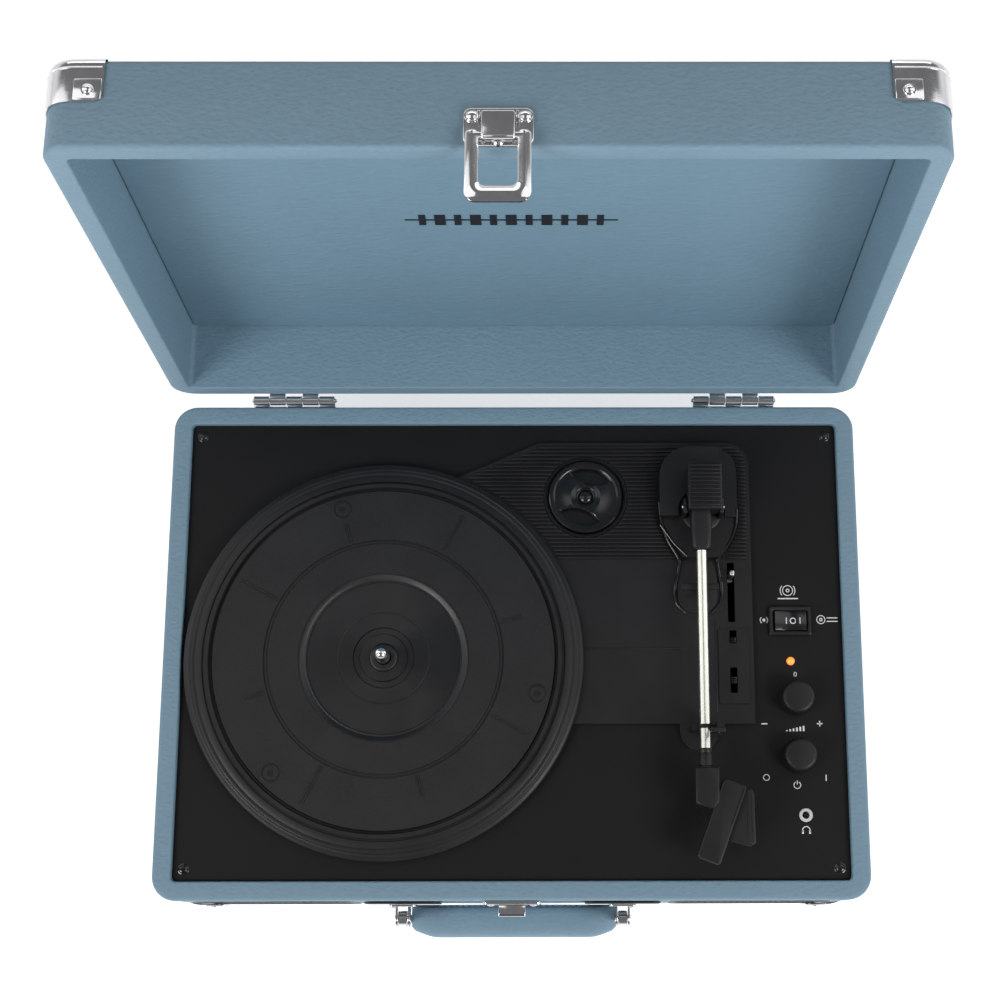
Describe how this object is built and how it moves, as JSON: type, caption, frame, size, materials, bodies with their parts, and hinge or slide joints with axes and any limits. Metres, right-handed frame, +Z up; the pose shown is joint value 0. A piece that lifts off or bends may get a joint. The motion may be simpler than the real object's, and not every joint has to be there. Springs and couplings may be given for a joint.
{
  "type": "suitcase record player",
  "caption": "Portable belt-drive record player in a hinged leatherette case, lid open, with tonearm, controls, latch and a padded carrying handle.",
  "frame": {"origin": "on the floor, below the middle of the object's bounding box with the lid open", "axes": "+X to the right seen from the front, across the case; +Y to the rear, towards the lid; +Z up"},
  "size_m": [0.3578, 0.3364, 0.3509],
  "materials": {
    "leatherette": "grained leatherette",
    "chrome": "polished plating",
    "steel": "plain steel",
    "deck_black": "satin black",
    "plastic_black": "moulded black",
    "rubber": "matte",
    "board_brown": "hardboard",
    "circuit_green": "circuit board",
    "amber": "clear amber lens"
  },
  "bodies": {
    "base": {"base_corner_front_left": "chrome", "base_corner_front_right": "chrome", "base_corner_rear_left": "chrome", "base_corner_rear_right": "chrome", "base_shell": "leatherette", "bottom_panel": "board_brown", "catch_hook": "chrome", "control_board": "circuit_green", "deck_panel": "deck_black", "drive_belt": "rubber", "foot_front_left": "rubber", "foot_front_right": "rubber", "foot_rear_left": "rubber", "foot_rear_right": "rubber", "handle_bracket_left": "chrome", "handle_bracket_right": "chrome", "handle_plate_left": "plastic_black", "handle_plate_right": "plastic_black", "headphone_jack": "chrome", "hinge_base_left": "chrome", "hinge_base_right": "chrome", "mechanism_plate": "plastic_black", "motor": "steel", "power_light": "amber", "socket_panel": "plastic_black", "speaker_grille_left": "plastic_black", "speaker_grille_right": "plastic_black", "speaker_left": "steel", "speaker_right": "steel", "spindle": "chrome", "switch_frame": "plastic_black"},
    "lid": {"lid_corner_front_left": "chrome", "lid_corner_front_right": "chrome", "lid_corner_rear_left": "chrome", "lid_corner_rear_right": "chrome", "lid_shell": "leatherette", "hinge_lid_left": "chrome", "hinge_lid_right": "chrome", "latch_plate": "chrome"},
    "latch_lever": {"latch_lever": "chrome"},
    "latch_bail": {"latch_bail": "chrome"},
    "handle": {"handle_grip": "leatherette", "handle_loop_left": "chrome", "handle_loop_right": "chrome"},
    "platter": {"platter": "plastic_black"},
    "motor_pulley": {"motor_pulley": "steel"},
    "arm_yoke": {"arm_yoke": "plastic_black"},
    "arm": {"arm_block": "plastic_black", "arm_tube": "chrome", "headshell": "plastic_black", "cartridge": "plastic_black"},
    "cue_lever": {"cue_lever": "steel"},
    "lift_platform": {"lift_platform": "plastic_black"},
    "arm_clip": {"arm_clip": "plastic_black"},
    "speed_slider": {"speed_slider": "plastic_black"},
    "autostop_slider": {"autostop_slider": "plastic_black"},
    "mode_rocker": {"mode_rocker": "plastic_black"},
    "pitch_knob": {"pitch_knob": "plastic_black"},
    "volume_knob": {"volume_knob": "plastic_black"},
    "adapter": {"adapter_45": "plastic_black"}
  },
  "joints": [
    {"name": "lid_hinge", "type": "hinge", "parent": "base", "child": "lid", "pos_m": [0, 0.10741, 0.0868], "axis": [-1, 0, 0], "range_deg": [-94.3, 0]},
    {"name": "latch_lever_hinge", "type": "hinge", "parent": "lid", "child": "latch_lever", "pos_m": [0, 0.1405, 0.34695], "axis": [-1, 0, 0], "range_deg": [0, 110]},
    {"name": "latch_bail_hinge", "type": "hinge", "parent": "latch_lever", "child": "latch_bail", "pos_m": [0, 0.13201, 0.34729], "axis": [-1, 0, 0], "range_deg": [-1, 45]},
    {"name": "handle_swing", "type": "hinge", "parent": "base", "child": "handle", "pos_m": [0, -0.15879, 0.062], "axis": [-1, 0, 0], "range_deg": [0, 115]},
    {"name": "platter_spin", "type": "hinge", "parent": "base", "child": "platter", "pos_m": [-0.0653, -0.0301, 0.088], "axis": [0, 0, 1], "continuous": true},
    {"name": "pulley_spin", "type": "hinge", "parent": "base", "child": "motor_pulley", "pos_m": [-0.1183, 0.0229, 0.088], "axis": [0, 0, 1], "continuous": true},
    {"name": "arm_swing", "type": "hinge", "parent": "base", "child": "arm_yoke", "pos_m": [0.097, 0.04521, 0.088], "axis": [0, 0, -1], "range_deg": [0, 44.5]},
    {"name": "arm_lift", "type": "hinge", "parent": "arm_yoke", "child": "arm", "pos_m": [0.097, 0.04521, 0.1035], "axis": [-1, 0, 0], "range_deg": [0, 5]},
    {"name": "cue_lever_turn", "type": "hinge", "parent": "base", "child": "cue_lever", "pos_m": [0.1118, 0.0127, 0.08], "axis": [1, 0, 0], "range_deg": [0, 50]},
    {"name": "lift_platform_rise", "type": "slide", "parent": "base", "child": "lift_platform", "axis": [0, 0, 1], "range_m": [0, 0.0036]},
    {"name": "arm_clip_turn", "type": "hinge", "parent": "base", "child": "arm_clip", "pos_m": [0.103, -0.0666, 0.108], "axis": [0, -1, 0], "range_deg": [0, 90]},
    {"name": "speed_slide", "type": "slide", "parent": "base", "child": "speed_slider", "axis": [0, 1, 0], "range_m": [-0.004, 0.004]},
    {"name": "autostop_slide", "type": "slide", "parent": "base", "child": "autostop_slider", "axis": [0, 1, 0], "range_m": [0, 0.0035]},
    {"name": "mode_rock", "type": "hinge", "parent": "base", "child": "mode_rocker", "pos_m": [0.1412, -0.0105, 0.084], "axis": [0, 1, 0], "range_deg": [-8, 8]},
    {"name": "pitch_turn", "type": "hinge", "parent": "base", "child": "pitch_knob", "pos_m": [0.1437, -0.05049, 0.088], "axis": [0, 0, 1], "range_deg": [-140, 140]},
    {"name": "volume_turn", "type": "hinge", "parent": "base", "child": "volume_knob", "pos_m": [0.144, -0.07949, 0.088], "axis": [0, 0, -1], "range_deg": [-60, 210]},
    {"name": "adapter_lift", "type": "slide", "parent": "base", "child": "adapter", "axis": [0, 0, 1], "range_m": [0, 0.03]}
  ],
  "couplings": [
    {"joint": "pulley_spin", "follows": "platter_spin", "ratio": 10.72},
    {"joint": "cue_lever_turn", "follows": "arm_lift", "ratio": 10},
    {"joint": "lift_platform_rise", "follows": "arm_lift", "m_per_rad": 0.04011}
  ]
}
